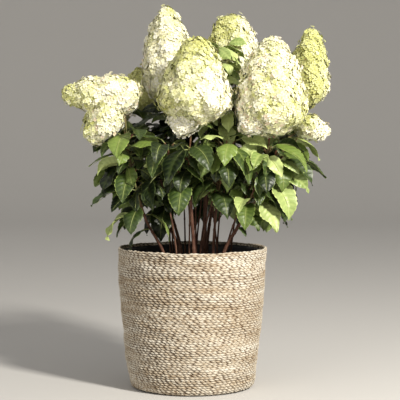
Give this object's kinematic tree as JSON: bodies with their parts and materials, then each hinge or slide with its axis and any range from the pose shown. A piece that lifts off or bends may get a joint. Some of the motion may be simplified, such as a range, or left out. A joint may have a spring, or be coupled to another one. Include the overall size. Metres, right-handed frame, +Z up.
{
  "type": "panicle hydrangea in a basket planter",
  "caption": "Shrub with upright woody canes, opposite drooping leaves and large cream cone-shaped flower heads, growing in a lined basket of stitched rope.",
  "frame": {"origin": "centre of the basket's flat underside, where it stands on the ground", "axes": "+Z up through the middle of the basket, -Y towards the side of the bush with the two largest flower heads, +X to the right of a viewer on that side"},
  "size_m": [0.5651, 0.4277, 0.8141],
  "materials": {
    "rope": "dry twisted plant fibre, matt",
    "liner": "thin black film, a little shiny",
    "soil": "crumbly and matt",
    "bark": "reddish brown, finely ridged",
    "leaf": "soft sheen, veined",
    "blossom": "matt petals, cream with a touch of lime"
  },
  "bodies": {
    "root": {"basket": "rope", "cane_back": "bark", "cane_back_left": "bark", "cane_front": "bark", "cane_left": "bark", "cane_left_back": "bark", "cane_middle": "bark", "cane_middle_right": "bark", "cane_right": "bark", "cane_right_back": "bark", "flower_head_back": "blossom", "flower_head_back_middle": "blossom", "flower_head_far_left": "blossom", "flower_head_front_left": "blossom", "flower_head_front_right": "blossom", "flower_head_left": "blossom", "flower_head_left_back": "blossom", "flower_head_low_back": "blossom", "flower_head_low_right": "blossom", "flower_head_right": "blossom", "flower_head_right_back": "blossom", "flower_head_tall": "blossom", "liner": "liner", "shoot_back": "leaf", "shoot_back_left_low": "leaf", "shoot_back_low": "leaf", "shoot_back_middle": "leaf", "shoot_far_left": "leaf", "shoot_front_inner": "leaf", "shoot_front_left": "leaf", "shoot_front_low": "leaf", "shoot_front_right": "leaf", "shoot_left": "leaf", "shoot_left_back": "leaf", "shoot_left_inner": "leaf", "shoot_left_low": "leaf", "shoot_low_back": "leaf", "shoot_low_right": "leaf", "shoot_right": "leaf", "shoot_right_back": "leaf", "shoot_right_low": "leaf", "shoot_tall": "leaf", "shoot_upright": "leaf", "soil": "soil"}
  },
  "joints": []
}
